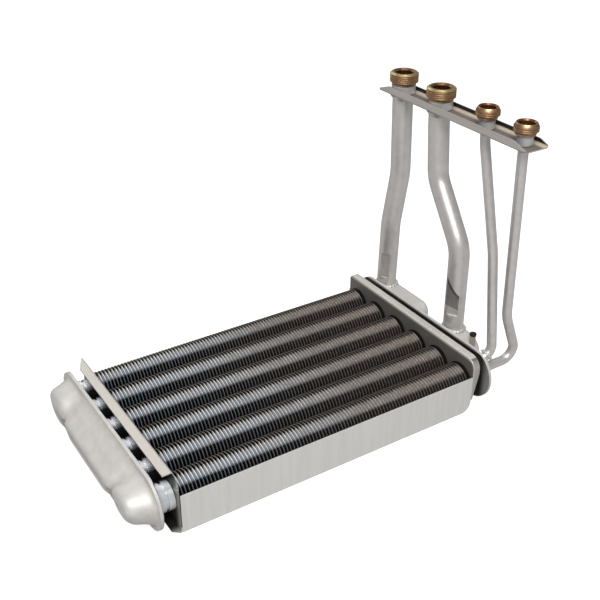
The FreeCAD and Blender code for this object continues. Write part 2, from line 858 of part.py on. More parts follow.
def fold_section(y):
    """The bracket's folded channel section in the plane at y."""
    low = bracket_floor_height
    half = bracket_width / 2
    inside = half - bracket_sheet
    outer = bracket_fold_radius
    inner = outer - bracket_sheet
    edges = [
        Part.LineSegment(V(-half + outer, y, low), V(half - outer, y, low)).toShape(),
        Part.LineSegment(V(half - outer, y, floor_top), V(-half + outer, y, floor_top)).toShape(),
    ]
    for side, leaf in ((-1, bracket_front_leaf), (1, bracket_back_leaf)):
        centre = V(side * (half - outer), y, low + outer)
        slant = V(side * math.sqrt(0.5), 0, -math.sqrt(0.5))
        turn = low + outer
        top = low + leaf
        edges += [
            Part.Arc(V(centre.x, y, low), centre + slant * outer, V(side * half, y, turn)).toShape(),
            Part.LineSegment(V(side * half, y, turn), V(side * half, y, top)).toShape(),
            Part.LineSegment(V(side * half, y, top), V(side * inside, y, top)).toShape(),
            Part.LineSegment(V(side * inside, y, top), V(side * inside, y, turn)).toShape(),
            Part.Arc(V(side * inside, y, turn), centre + slant * inner, V(centre.x, y, floor_top)).toShape(),
        ]
    section = Part.Face(Part.Wire(Part.__sortEdges__(edges)))
    section.translate(V(pipe_line, 0, 0))
    return section


def bracket_end_tool(end, inward):
    """A tool that slants both leaves at one end of the bracket."""
    x = pipe_line - bracket_width
    low = floor_top + bracket_end_land
    high = bracket_floor_height + bracket_front_leaf
    points = [
        V(x, end, low),
        V(x, end + inward * bracket_end_slant, high),
        V(x, end + inward * bracket_end_slant, high + 1),
        V(x, end - inward, high + 1),
        V(x, end - inward, low),
    ]
    return extruded(points, V(2 * bracket_width, 0, 0))


def connection_bracket():
    """The folded channel that holds the four unions, with slanted leaf ends."""
    channel = fold_section(bracket_near_end).extrude(V(0, bracket_far_end - bracket_near_end, 0))
    channel = channel.cut(bracket_end_tool(bracket_near_end, 1)).cut(bracket_end_tool(bracket_far_end, -1))
    holes = [
        (heating_far_y, heating_pipe_radius), (heating_near_y, heating_pipe_radius),
        (water_inner_y, water_pipe_radius), (water_outer_y, water_pipe_radius),
    ]
    for y, radius in holes:
        tool = cylinder_z(radius + braze_gap, bracket_floor_height - 1, floor_top + 1, pipe_line, y)
        channel = channel.cut(tool)
    return channel


def sensor_pocket():
    """A blind tube that stands on the header and takes the sensor."""
    outer = cylinder_z(pocket_radius, pocket_bottom, pocket_top, pocket_line, pocket_y)
    bore = cylinder_z(pocket_bore_radius, pocket_bottom + pocket_floor, pocket_top + 1, pocket_line, pocket_y)
    return outer.cut(bore)


def sensor_cap():
    """The plastic cap over the sensor pocket."""
    base = pocket_top - pocket_cap_skirt
    outer = cylinder_z(pocket_cap_radius, base, pocket_top + pocket_cap_top, pocket_line, pocket_y)
    seat = cylinder_z(pocket_radius + braze_gap, base - 1, pocket_top, pocket_line, pocket_y)
    return outer.cut(seat)


def build_nodes():
    """Every node of the part by name."""
    near_side = side_plate(side_plate_height)
    far_side = side_plate(far_side_plate_height).mirror(V(0, 0, 0), V(0, 1, 0))
    tube_plate = header_tube_plate()
    nodes = {
        "frame_end_plate_left": frame_end_plate_left(),
        "frame_end_plate_right": frame_end_plate_right(),
        "side_plate_near": near_side,
        "side_plate_far": far_side,
        "header_tube_plate_left": flip(tube_plate),
        "header_tube_plate_right": tube_plate,
        "header_cap_left": header_cap_left(),
        "header_cap_right": header_cap_right(),
        "header_partition": header_partition(),
        "heating_pipe_far": heating_pipe_far(),
        "heating_pipe_near": heating_pipe_near(),
        "hot_water_pipe_inner": hot_water_pipe_inner(),
        "hot_water_pipe_outer": hot_water_pipe_outer(),
        "connection_bracket": connection_bracket(),
        "heating_union_far": heating_union(heating_far_y),
        "heating_union_near": heating_union(heating_near_y),
        "hot_water_union_inner": water_union(water_inner_y),
        "hot_water_union_outer": water_union(water_outer_y),
        "heating_collar_far": heating_collar(heating_far_y),
        "heating_collar_near": heating_collar(heating_near_y),
        "hot_water_collar_inner": water_collar(water_inner_y),
        "hot_water_collar_outer": water_collar(water_outer_y),
        "sensor_pocket": sensor_pocket(),
        "sensor_cap": sensor_cap(),
        "transfer_tube": transfer_tube(),
    }
    tube = finned_tube()
    for number, y in enumerate(tube_axes, 1):
        placed = tube.copy()
        placed.translate(V(0, y, tube_axis_height))
        nodes[f"finned_tube_{number}"] = placed
        nodes[f"inner_water_tube_{number}"] = inner_water_tube(y)
    for number in range(1, tube_count, 2):
        left = flip(return_bend(tube_axes[number - 1], tube_axes[number]))
        nodes[f"return_bend_left_{number}_{number + 1}"] = left
    for number in range(2, tube_count, 2):
        right = return_bend(tube_axes[number - 1], tube_axes[number])
        nodes[f"return_bend_right_{number}_{number + 1}"] = right
    return nodes


def main():
    """Build every node and write it to its own file."""
    os.makedirs("parts", exist_ok=True)
    for name, shape in build_nodes().items():
        shape.exportStep(f"parts/{name}.step")
        print(name, shape.isValid(), len(shape.Solids), round(shape.Volume))


main()
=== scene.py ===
"""Looks of a boiler heat exchanger: six finned tubes in a sheet frame, two pressed
headers, four bent pipes and a bracket of brass unions, on a pale studio floor.

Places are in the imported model's own frame: +Z up, +X along the tubes towards the
header with the pipes, +Y towards the far side. Sizes are written in millimetres,
and MM turns them to metres. The lamps, the floor and the camera's clipping are in
metres.
"""
import logging
import math
from dataclasses import dataclass
from enum import Enum
from typing import Callable

import bmesh
import bpy
from mathutils import Matrix, Vector


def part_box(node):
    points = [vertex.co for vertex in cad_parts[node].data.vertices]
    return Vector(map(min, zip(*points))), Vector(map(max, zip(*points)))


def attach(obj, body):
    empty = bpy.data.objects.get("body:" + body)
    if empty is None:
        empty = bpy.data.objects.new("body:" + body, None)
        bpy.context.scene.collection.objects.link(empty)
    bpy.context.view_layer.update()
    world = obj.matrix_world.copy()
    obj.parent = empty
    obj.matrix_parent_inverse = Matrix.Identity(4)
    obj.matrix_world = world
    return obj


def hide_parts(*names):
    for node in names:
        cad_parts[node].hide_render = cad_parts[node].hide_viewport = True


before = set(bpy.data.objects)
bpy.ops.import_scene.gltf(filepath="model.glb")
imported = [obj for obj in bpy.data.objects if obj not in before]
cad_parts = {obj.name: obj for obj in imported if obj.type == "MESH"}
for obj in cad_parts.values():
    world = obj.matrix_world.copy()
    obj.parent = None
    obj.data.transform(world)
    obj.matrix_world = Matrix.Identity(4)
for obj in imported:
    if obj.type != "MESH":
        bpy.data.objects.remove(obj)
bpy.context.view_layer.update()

MM = 0.001
LOG = logging.getLogger("heat_exchanger")

# Sizes and places that several classes share, in millimetres
TUBE_PITCH = 31.8
TUBE_AXIS = 26.6
COLLAR_RADIUS = 12.7
FRAME_FACE = 146.7
FRAME_SHEET = 1.2
PIPE_LINE = 179.7
BRACKET_FLOOR = 248.0

# Octaves of noise in the finest grain, and how near two vertices are one
GRAIN_DETAIL = 2.0
MERGE_DISTANCE = 0.001 * MM

Socket = bpy.types.NodeSocket
Span = tuple[float, float]
Triple = tuple[float, float, float]
Quad = tuple[float, float, float, float]


def linear(hex_colour: str) -> Quad:
    """Turn an sRGB hex colour into linear values.

    Args:
        hex_colour: Six hex digits, such as "C9C5BE".

    Returns:
        Linear red, green and blue, and an alpha of one.
    """
    channels = []
    for start in (0, 2, 4):
        value = int(hex_colour[start:start + 2], 16) / 255
        channels.append(value / 12.92 if value <= 0.04045 else ((value + 0.055) / 1.055) ** 2.4)
    return (*channels, 1.0)


class NodeTree:
    """The node tree of a material or of the world, with one way of adding nodes."""

    def __init__(self, owner: bpy.types.Material | bpy.types.World) -> None:
        """Empty the owner's tree.

        Args:
            owner: The material or world that the nodes belong to.
        """
        owner.use_nodes = True
        self.owner = owner
        self.tree = owner.node_tree
        self.tree.nodes.clear()

    def add(self, kind: str, settings: dict | None = None, **inputs: object) -> bpy.types.Node:
        """Add a node with its settings and links.

        Args:
            kind: The node's type, such as "ShaderNodeTexNoise".
            settings: Attributes of the node, by name.
            **inputs: Values or output sockets for the node's inputs. An underscore
                stands for a space, and a name such as i1 means the input at place 1.

        Returns:
            The new node.
        """
        node = self.tree.nodes.new(kind)
        for key, value in (settings or {}).items():
            setattr(node, key, value)
        for key, value in inputs.items():
            place = key[1:]
            by_place = key[0] == "i" and place.isdigit()
            socket = node.inputs[int(place)] if by_place else node.inputs[key.replace("_", " ")]
            if isinstance(value, Socket):
                self.tree.links.new(value, socket)
            else:
                socket.default_value = value
        return node

    def ramp(self, factor: Socket, stops: list[tuple[float, str]]) -> Socket:
        """Add a colour ramp.

        Args:
            factor: The socket that drives the ramp.
            stops: Pairs of position and hex colour in order, at least two.

        Returns:
            The ramp's colour socket.
        """
        node = self.add("ShaderNodeValToRGB", i0=factor)
        elements = node.color_ramp.elements
        for element, (position, colour) in zip(elements, stops):
            element.position = position
            element.color = linear(colour)
        for position, colour in stops[2:]:
            elements.new(position).color = linear(colour)
        return node.outputs["Color"]

    def math(self, operation: str, first: object, second: object = 0.0, third: object = 0.0) -> Socket:
        """Add a sum, product or other operation and return its value."""
        node = self.add("ShaderNodeMath", {"operation": operation}, i0=first, i1=second, i2=third)
        return node.outputs[0]

    def every(self, *masks: Socket) -> Socket:
        """Multiply masks, so that all of them must hold.

        Args:
            *masks: Sockets that give zero to one, at least one of them.

        Returns:
            The product's socket.
        """
        whole = masks[0]
        for mask in masks[1:]:
            whole = self.math("MULTIPLY", whole, mask)
        return whole

    def under(self, length: Socket, limit_mm: float) -> Socket:
        """Return one where a length is under a limit and zero elsewhere."""
        return self.math("LESS_THAN", length, limit_mm * MM)

    def over(self, length: Socket, limit_mm: float) -> Socket:
        """Return one where a length is over a limit and zero elsewhere."""
        return self.math("GREATER_THAN", length, limit_mm * MM)

    def between(self, factor: Socket, first: object, second: object) -> Socket:
        """Turn a factor from zero to one into a value from first to second."""
        return self.add("ShaderNodeMapRange", Value=factor, i3=first, i4=second).outputs[0]

    def soft(self, value: Socket, low: float, high: float, start: float = 0.0, end: float = 1.0) -> Socket:
        """Turn a value into a soft step from start to end, as fade does with a length."""
        smooth = {"interpolation_type": "SMOOTHSTEP"}
        node = self.add("ShaderNodeMapRange", smooth, Value=value, i1=low, i2=high, i3=start, i4=end)
        return node.outputs[0]

    def fade(self, length: Socket, low_mm: float, high_mm: float,
             start: float = 0.0, end: float = 1.0) -> Socket:
        """Turn a length into a soft step.

        Args:
            length: The length in metres.
            low_mm: Up to here the step is at its start.
            high_mm: From here it is at its end.
            start: The value before the step.
            end: The value after it.

        Returns:
            The step's value.
        """
        return self.soft(length, low_mm * MM, high_mm * MM, start, end)

    def blend(self, factor: Socket, *colours: Socket | str) -> Socket:
        """Mix two colours.

        Args:
            factor: The second colour's share.
            *colours: The two colours, each a socket or six hex digits.

        Returns:
            The mixed colour's socket.
        """
        first, second = (linear(colour) if isinstance(colour, str) else colour for colour in colours)
        node = self.add("ShaderNodeMix", {"data_type": "RGBA"}, i0=factor, i6=first, i7=second)
        return node.outputs[2]

    def place(self) -> Socket:
        """Return the Object coordinates, which are metres in the model's frame."""
        return self.add("ShaderNodeTexCoord").outputs["Object"]

    def axes(self) -> tuple[Socket, Socket, Socket]:
        """Return the place along X, Y and Z."""
        outputs = self.add("ShaderNodeSeparateXYZ", i0=self.place()).outputs
        return outputs[0], outputs[1], outputs[2]

    def from_tube(self) -> tuple[Socket, Socket]:
        """Return how far a place lies from the nearest finned tube's axis.

        Returns:
            The distances along Y and along Z.
        """
        _, across, up = self.axes()
        step = self.math("FLOORED_MODULO", across, TUBE_PITCH * MM)
        aside = self.math("SUBTRACT", step, TUBE_PITCH / 2 * MM)
        return aside, self.math("SUBTRACT", up, TUBE_AXIS * MM)

    def tube_distance(self) -> Socket:
        """Return the distance from the nearest finned tube's axis.

        Returns:
            The distance, square to the axis.
        """
        aside, height = self.from_tube()
        squares = self.math("MULTIPLY_ADD", height, height, self.math("MULTIPLY", aside, aside))
        return self.math("SQRT", squares)

    def tube_facing(self, lean_degrees: float) -> Socket:
        """Return how far a place round the nearest tube lies towards one side of it.

        Args:
            lean_degrees: The side's direction, from straight up towards the near side.

        Returns:
            One where the place lies exactly that way, zero where it lies square to it.
        """
        aside, height = self.from_tube()
        lean = math.radians(lean_degrees)
        upwards = self.math("MULTIPLY", height, math.cos(lean))
        farwards = self.math("MULTIPLY", aside, math.sin(lean))
        return self.math("DIVIDE", self.math("SUBTRACT", upwards, farwards), self.tube_distance())

    def noise(self, size_mm: float, detail: float, stretch: Triple = (1, 1, 1)) -> Socket:
        """Add noise of a real size.

        Args:
            size_mm: Size of one blot in millimetres.
            detail: Octaves of finer noise.
            stretch: How much longer the blots are along X, Y and Z.

        Returns:
            The noise's factor socket.
        """
        scale = tuple(1 / (size_mm * MM * factor) for factor in stretch)
        mapping = self.add("ShaderNodeMapping", Vector=self.place(), Scale=scale)
        return self.add("ShaderNodeTexNoise", Vector=mapping.outputs[0], Scale=1.0, Detail=detail).outputs[0]

    def bump(self, height: Socket, depth_mm: float) -> Socket:
        """Add a bump of a real depth and return its normal."""
        return self.add("ShaderNodeBump", Height=height, Distance=depth_mm * MM, Strength=1.0).outputs[0]

    def finish(self, **inputs: object) -> bpy.types.Material:
        """Close the material with one principled shader and return it."""
        shader = self.add("ShaderNodeBsdfPrincipled", **inputs)
        self.add("ShaderNodeOutputMaterial", Surface=shader.outputs[0])
        return self.owner


@dataclass(frozen=True)
class PolishWithPaintedLight:
    """Bare tubes and collars between the plates, polished by hand.

    They carry a painted highlight along the top and, at the single header, painted light
    on the open near side, and painted shade where they face one another.
    """

    # Painted highlight, half shade and shade round each tube, and painted light on the open near side
    light: str = "FAFCFF"
    middle: str = "858C93"
    dark: str = "18191A"
    near: str = "C2C6C8"
    lean: float = 7.0
    painted_shade_facing: float = 0.74
    painted_half_shade_facing: float = 0.88
    painted_highlight_facing: float = 0.975
    painted_lit_side_span: Span = (-86.0, -80.0)
    painted_lit_rise: Span = (TUBE_AXIS - 9.0, TUBE_AXIS - 3.0)
    metallic: float = 0.25
    roughness: float = 0.27

    def colour(self, tree: NodeTree) -> Socket:
        """Add the polish's colour, with its painted highlight, shade and light.

        Args:
            tree: The tree to add to.

        Returns:
            The colour's socket.
        """
        # Painted highlight along the top, painted shade where the tubes face one another
        round_tube = tree.ramp(tree.tube_facing(self.lean), [
            (self.painted_shade_facing, self.dark),
            (self.painted_half_shade_facing, self.middle),
            (self.painted_highlight_facing, self.light),
        ])
        along, across, up = tree.axes()
        # Painted light on the open near side of the nearest tube, at the single header
        painted_lit_side = tree.every(
            tree.under(along, 0.0),
            tree.fade(across, *self.painted_lit_side_span, 1.0, 0.0),
            tree.fade(up, *self.painted_lit_rise),
        )
        return tree.blend(painted_lit_side, round_tube, self.near)


@dataclass(frozen=True)
class SilverPaint:
    """Heat-proof aluminium paint, sprayed: satin, finely grained, faintly mottled.

    The mottle keeps large flats from reading as plastic, and the grain breaks the
    highlights the way metal flakes do. Real flakes are too fine to show, so the
    grain is drawn coarser.
    """

    name: str
    light: str
    dark: str
    metallic: float = 0.3
    roughness: float = 0.42
    roughness_spread: Span = (-0.04, 0.05)
    mottle_mm: float = 7.0
    mottle_detail: float = 5.0
    mottle_ends: Span = (0.3, 0.65)
    streak: Triple = (1.0, 1.0, 1.0)
    grain_mm: float = 0.8
    grain_depth_mm: float = 0.02
    # The colour of the painted shade
    shade: str = "262422"
    polish: PolishWithPaintedLight = PolishWithPaintedLight()

    def shaded(self, tree: NodeTree) -> Socket | None:
        """Return where painted shade darkens the paint, or nothing."""
        return None

    def polished(self, tree: NodeTree) -> Socket | None:
        """Return where the metal is left bare, with its painted highlight and shade, or nothing."""
        return None

    def paint(self, tree: NodeTree, mottle: Socket) -> Socket:
        """Return the colour of the clean paint over its mottle."""
        return tree.ramp(mottle, list(zip(self.mottle_ends, (self.dark, self.light))))

    def grain(self, tree: NodeTree) -> Socket:
        """Return the normal of the sprayed grain."""
        return tree.bump(tree.noise(self.grain_mm, GRAIN_DETAIL), self.grain_depth_mm)

    def material(self) -> bpy.types.Material:
        """Build the paint.

        Returns:
            The finished material.
        """
        tree = NodeTree(bpy.data.materials.new(self.name))
        mottle = tree.noise(self.mottle_mm, self.mottle_detail, self.streak)
        colour = self.paint(tree, mottle)
        # Painted shade where the shaded hook asks for it
        shaded = self.shaded(tree)
        if shaded is not None:
            colour = tree.blend(shaded, colour, self.shade)
        rough = tree.between(mottle, *(self.roughness + change for change in self.roughness_spread))
        metallic: object = self.metallic
        # Bare metal, with the polish's painted highlight and shade
        polished = self.polished(tree)
        if polished is not None:
            colour = tree.blend(polished, colour, self.polish.colour(tree))
            rough = tree.between(polished, rough, self.polish.roughness)
            metallic = tree.between(polished, self.metallic, self.polish.metallic)
        return tree.finish(Base_Color=colour, Metallic=metallic, Roughness=rough, Normal=self.grain(tree))


@dataclass(frozen=True)
class PlatePaint(SilverPaint):
    """The paint of the plates that the tubes run through, whose drawn collars are left bare."""

    collar_reach: Span = (FRAME_FACE + 0.4, 161.4)

    def polished(self, tree: NodeTree) -> Socket:
        """Leave the collars bare.

        Args:
            tree: The tree to add to.

        Returns:
            One on the collars, zero elsewhere.
        """
        reach = tree.math("ABSOLUTE", tree.axes()[0])
        low, high = self.collar_reach
        round_tube = tree.under(tree.tube_distance(), COLLAR_RADIUS)
        return tree.every(tree.over(reach, low), tree.under(reach, high), round_tube)


@dataclass(frozen=True)
class FramePaint(PlatePaint):
    """The frame's paint, with painted shade inside the frame and behind the headers, and none on its rims."""

    inner_face: float = FRAME_FACE - 0.6
    inner_half_width: float = 96.45
    inner_rim: Span = (49.5, 54.2)
    inner_shade: float = 0.78
    tube_shadow: Span = (15.7, 16.3)
    tube_shadow_shade: float = 1.28
    outer_face: float = FRAME_FACE - 0.2
    outer_ends: Span = (88.0, 96.9)
    outer_ends_shade: float = 0.35
    outer_rim: Span = (52.1, 52.9)

    def shaded(self, tree: NodeTree) -> Socket:
        """Paint shade on the faces that look at the fins or at a header, up to just under the rims.

        Args:
            tree: The tree to add to.

        Returns:
            The shade's strength.
        """
        along, across, up = tree.axes()
        reach = tree.math("ABSOLUTE", along)
        width = tree.math("ABSOLUTE", across)
        # Painted shade inside the frame, with a painted shadow ring round each tube
        inside = tree.every(
            tree.under(reach, self.inner_face),
            tree.under(width, self.inner_half_width),
            tree.fade(up, *self.inner_rim, self.inner_shade, 0.0),
            tree.fade(tree.tube_distance(), *self.tube_shadow, self.tube_shadow_shade, 1.0),
        )
        # Painted shade on the outer faces behind the headers, under the rims
        outside = tree.every(
            tree.over(reach, self.outer_face),
            tree.fade(width, *self.outer_ends, 1.0, self.outer_ends_shade),
            tree.fade(up, *self.outer_rim, 1.0, 0.0),
        )
        return tree.math("MAXIMUM", inside, outside)


@dataclass(frozen=True)
class HeaderPaint(PlatePaint):
    """The headers' paint, with painted shade on the plates' faces towards the frame, and none outside."""

    inner_face: float = 162.2
    ends: Span = (89.0, 98.0)
    ends_shade: float = 0.5
    rim: Span = (48.5, 50.9)

    def shaded(self, tree: NodeTree) -> Socket:
        """Paint shade on the plates' inner faces up to just under their edges.

        Args:
            tree: The tree to add to.

        Returns:
            The shade's strength.
        """
        along, across, up = tree.axes()
        reach = tree.math("ABSOLUTE", along)
        # Painted shade on the inner faces, lighter at the ends
        return tree.every(
            tree.under(reach, self.inner_face),
            tree.fade(tree.math("ABSOLUTE", across), *self.ends, 1.0, self.ends_shade),
            tree.fade(up, *self.rim, 1.0, 0.0),
        )


@dataclass(frozen=True)
class BracketPaint(SilverPaint):
    """The bracket's paint: a painted warm highlight along the rear fold, painted shade on the channel's
    floor, and painted shade on the rear leaf inside.
    """

    mottle_detail: float = 4.0
    # The painted highlight along the rear fold, and the painted shade on the channel's floor
    painted_glint: str = "D2C6B6"
    inner: str = "857B74"
    floor_face: float = BRACKET_FLOOR - 0.1
    channel_half_width: float = 12.0
    painted_glint_reach: Span = (5.5, 9.5)
    leaf_foot: Span = (BRACKET_FLOOR + 0.9, BRACKET_FLOOR + 1.8)

    def material(self) -> bpy.types.Material:
        """Build the paint, with other colours inside the channel.

        Returns:
            The finished material.
        """
        tree = NodeTree(bpy.data.materials.new(self.name))
        along, _, up = tree.axes()
        off_line = tree.math("SUBTRACT", along, PIPE_LINE * MM)
        within = tree.every(
            tree.over(up, self.floor_face),
            tree.under(tree.math("ABSOLUTE", off_line), self.channel_half_width),
        )
        # The floor: painted shade at the front, a painted warm highlight towards the rear fold
        floor = tree.blend(tree.fade(off_line, *self.painted_glint_reach), self.inner, self.painted_glint)
        # Painted shade on the leaf's inner face, above the floor
        channel = tree.blend(tree.fade(up, *self.leaf_foot), floor, self.shade)
        paint = self.paint(tree, tree.noise(self.mottle_mm, self.mottle_detail, self.streak))
        return tree.finish(
            Base_Color=tree.blend(within, paint, channel), Metallic=self.metallic,
            Roughness=self.roughness, Normal=self.grain(tree),
        )


@dataclass(frozen=True)
class PipePaint(SilverPaint):
    """The pipes' paint, with painted shade on the flat pressed in the near heating pipe.

    The flat's foot is a place on the pipe's axis, which leans a little. The flat faces
    along its bearing, and its lower and upper edges are skewed across it.
    """

    flat_foot: Span = (176.9, -31.3)
    flat_low: float = 71.5
    flat_high: float = 92.5
    low_skew: float = 0.3
    high_skew: float = 1.3
    edge_fade: float = 0.5
    crease: float = 7.0
    flat_bearing: float = 203.0
    flat_distance: float = 7.1
    flat_reach: float = 1.45
    flat_half_width: float = 7.2
    flat_shade: float = 0.52
    crease_shade: float = 0.92
    lean: Span = (0.035, 0.05)

    def shaded(self, tree: NodeTree) -> Socket:
        """Paint shade on the flat, more so along its slanted upper edge.

        Args:
            tree: The tree to add to.

        Returns:
            The shade's strength.
        """
        along, across, up = tree.axes()
        above = tree.math("SUBTRACT", up, self.flat_low * MM)
        off_x, off_y = (
            tree.math("MULTIPLY_ADD", above, -lean, tree.math("SUBTRACT", place, foot * MM))
            for place, foot, lean in zip((along, across), self.flat_foot, self.lean)
        )
        sine = math.sin(math.radians(self.flat_bearing))
        cosine = math.cos(math.radians(self.flat_bearing))
        out = tree.math("MULTIPLY_ADD", off_y, sine, tree.math("MULTIPLY", off_x, cosine))
        aside = tree.math("MULTIPLY_ADD", off_x, -sine, tree.math("MULTIPLY", off_y, cosine))
        low = tree.math("MULTIPLY_ADD", aside, self.low_skew, up)
        high = tree.math("MULTIPLY_ADD", aside, self.high_skew, up)
        # Painted shade over the flat, darker towards its upper edge
        return tree.every(
            tree.over(low, self.flat_low),
            tree.fade(high, self.flat_high - self.edge_fade, self.flat_high + self.edge_fade, 1.0, 0.0),
            tree.over(out, self.flat_distance),
            tree.under(out, self.flat_reach * self.flat_distance),
            tree.under(tree.math("ABSOLUTE", aside), self.flat_half_width),
            tree.fade(high, self.flat_high - self.crease, self.flat_high, self.flat_shade, self.crease_shade),
        )


@dataclass(frozen=True)
class CoatedFin:
    """Rolled copper fins with a grey metallic coating.

    Each tube carries a painted highlight along one band, above its near side, on the tips
    and the flanks. Elsewhere the tips are painted lighter above and darker on the near side
    as light and shade, and the gaps are filled with painted shade, so the tubes read as
    round from afar. Heat has browned the end near the pipes. There the tips have scaled in
    spots, which breaks their even row. Outside the frame the bare tube is polished, with a
    painted highlight and shade.
    """

    name: str = "coated_rolled_fins"
    # Painted highlight colours in the band: cream above, cool on the near side, warm towards the hot end
    highlight_cool: str = "DEE4E9"
    highlight_cream: str = "F6F0E8"
    warm: str = "B5AAA1"
    # Painted shade in the gaps, low on each tube and at the fins' ends. The scale colour is the scaled spots
    # and also the lighter painted shade in the gaps at the hot end
    painted_shade: str = "090808"
    scale: str = "2C2724"
    # Painted highlight on the flanks in the band. Painted light on the dull tips' upper side and painted
    # shade on their near side. The tips are browned at the hot end
    flank: str = "ABB1B7"
    flank_highlight_warm: str = "9A9088"
    upper: str = "857D76"
    lower: str = "5C6268"
    browned: str = "6E655F"
    half_length: float = 145.0
    highlight_band_lean: float = 16.5
    highlight_band_facing: Span = (0.91, 0.998)
    side_facing: Span = (-0.2, 0.2)
    blot_mm: float = 9.0
    blot_detail: float = 4.0
    warming: Span = (0.1, 0.85)
    dimming: Quad = (0.2, 1.15, 1.0, 0.95)
    underside: Span = (TUBE_AXIS - 1.0, TUBE_AXIS + 8.0)
    underside_shade: float = 0.8
    spot_mm: float = 2.6
    spot_detail: float = 3.0
    spot_ends: Span = (0.42, 0.6)
    wear: float = 0.5
    gap_radius: float = 14.85
    tip_radius: float = 15.5
    fin_end: float = 143.1
    end_fade: float = 0.3
    metallic: float = 0.45
    roughness: float = 0.42
    polish: PolishWithPaintedLight = PolishWithPaintedLight()

    def fins(self, tree: NodeTree, along: Socket, up: Socket) -> Socket:
        """Add the fins' colour.

        Args:
            tree: The tree to add to.
            along: The place along the tube.
            up: The height.

        Returns:
            The colour's socket.
        """
        share = tree.fade(along, -self.half_length, self.half_length)
        blots = tree.math("SUBTRACT", tree.noise(self.blot_mm, self.blot_detail), 0.5)
        heat = tree.math("ADD", share, blots)
        side = tree.soft(tree.tube_facing(self.highlight_band_lean + 90), *self.side_facing)
        band = tree.soft(tree.tube_facing(self.highlight_band_lean), *self.highlight_band_facing)
        painted_glint = tree.math("MULTIPLY", band, tree.soft(heat, *self.dimming))
        # The tips: a painted highlight in the band; elsewhere painted light above and painted shade on the
        # near side, browned at the hot end; painted shade low on each tube; scaled where they got hot
        clean = tree.blend(side, self.highlight_cream, self.highlight_cool)
        clean = tree.blend(tree.soft(heat, *self.warming), clean, self.warm)
        dull = tree.blend(side, self.upper, self.lower)
        dull = tree.blend(share, dull, self.browned)
        tip = tree.blend(painted_glint, dull, clean)
        tip = tree.blend(tree.fade(up, *self.underside, self.underside_shade, 0.0), tip, self.painted_shade)
        spots = tree.soft(tree.noise(self.spot_mm, self.spot_detail), *self.spot_ends)
        worn = tree.math("MULTIPLY", tree.every(spots, share), self.wear)
        tip = tree.blend(worn, tip, self.scale)
        # The gaps between the fins: painted shade, with a painted highlight on their flanks in the band only
        gap = tree.blend(share, self.painted_shade, self.scale)
        flank = tree.blend(share, self.flank, self.flank_highlight_warm)
        gap = tree.blend(painted_glint, gap, flank)
        at_tips = tree.fade(tree.tube_distance(), self.gap_radius, self.tip_radius)
        colour = tree.blend(at_tips, gap, tip)
        # Painted shade on the fins' ends next to the plates
        end = tree.fade(tree.math("ABSOLUTE", along), self.fin_end, self.fin_end + self.end_fade)
        return tree.blend(end, colour, self.painted_shade)

    def material(self) -> bpy.types.Material:
        """Build the coating with the polished ends.

        Returns:
            The finished material.
        """
        tree = NodeTree(bpy.data.materials.new(self.name))
        along, _, up = tree.axes()
        outside = tree.over(tree.math("ABSOLUTE", along), FRAME_FACE)
        return tree.finish(
            Base_Color=tree.blend(outside, self.fins(tree, along, up), self.polish.colour(tree)),
            Metallic=tree.between(outside, self.metallic, self.polish.metallic),
            Roughness=tree.between(outside, self.roughness, self.polish.roughness),
        )


@dataclass(frozen=True)
class BareMetal:
    """Bare metal: turned, drawn or cut.

    Blots of uneven polish and fine marks along one direction break its reflections,
    so it reads as worked metal and not as a mirror.
    """

    name: str
    light: str
    dark: str
    roughness: float = 0.28
    roughness_spread: Span = (0.1, -0.04)
    blot_mm: float = 5.0
    blot_detail: float = 4.0
    blot_ends: Span = (0.3, 0.68)
    marks_in_blot: float = 8.0
    stretch: Triple = (1.0, 1.0, 1.0)
    depth_mm: float = 0.015

    def material(self) -> bpy.types.Material:
        """Build the metal.

        Returns:
            The finished material.
        """
        tree = NodeTree(bpy.data.materials.new(self.name))
        blot = tree.noise(self.blot_mm, self.blot_detail, self.stretch)
        marks = tree.noise(self.blot_mm / self.marks_in_blot, GRAIN_DETAIL, self.stretch)
        return tree.finish(
            Base_Color=tree.ramp(blot, list(zip(self.blot_ends, (self.dark, self.light)))), Metallic=1.0,
            Roughness=tree.between(blot, *(self.roughness + change for change in self.roughness_spread)),
            Normal=tree.bump(marks, self.depth_mm),
        )


@dataclass(frozen=True)
class MouldedPlastic:
    """Black moulded plastic with a fine spark-eroded grain, which keeps its highlight dull."""

    name: str = "black_moulded_plastic"
    colour: str = "0D0D0D"
    worn: str = "191919"
    roughness: float = 0.65
    grain_mm: float = 0.4
    grain_ends: Span = (0.3, 0.7)
    grain_depth_mm: float = 0.02

    def material(self) -> bpy.types.Material:
        """Build the plastic.

        Returns:
            The finished material.
        """
        tree = NodeTree(bpy.data.materials.new(self.name))
        grain = tree.noise(self.grain_mm, GRAIN_DETAIL)
        colour = tree.ramp(grain, list(zip(self.grain_ends, (self.colour, self.worn))))
        normal = tree.bump(grain, self.grain_depth_mm)
        return tree.finish(Base_Color=colour, Roughness=self.roughness, Normal=normal)


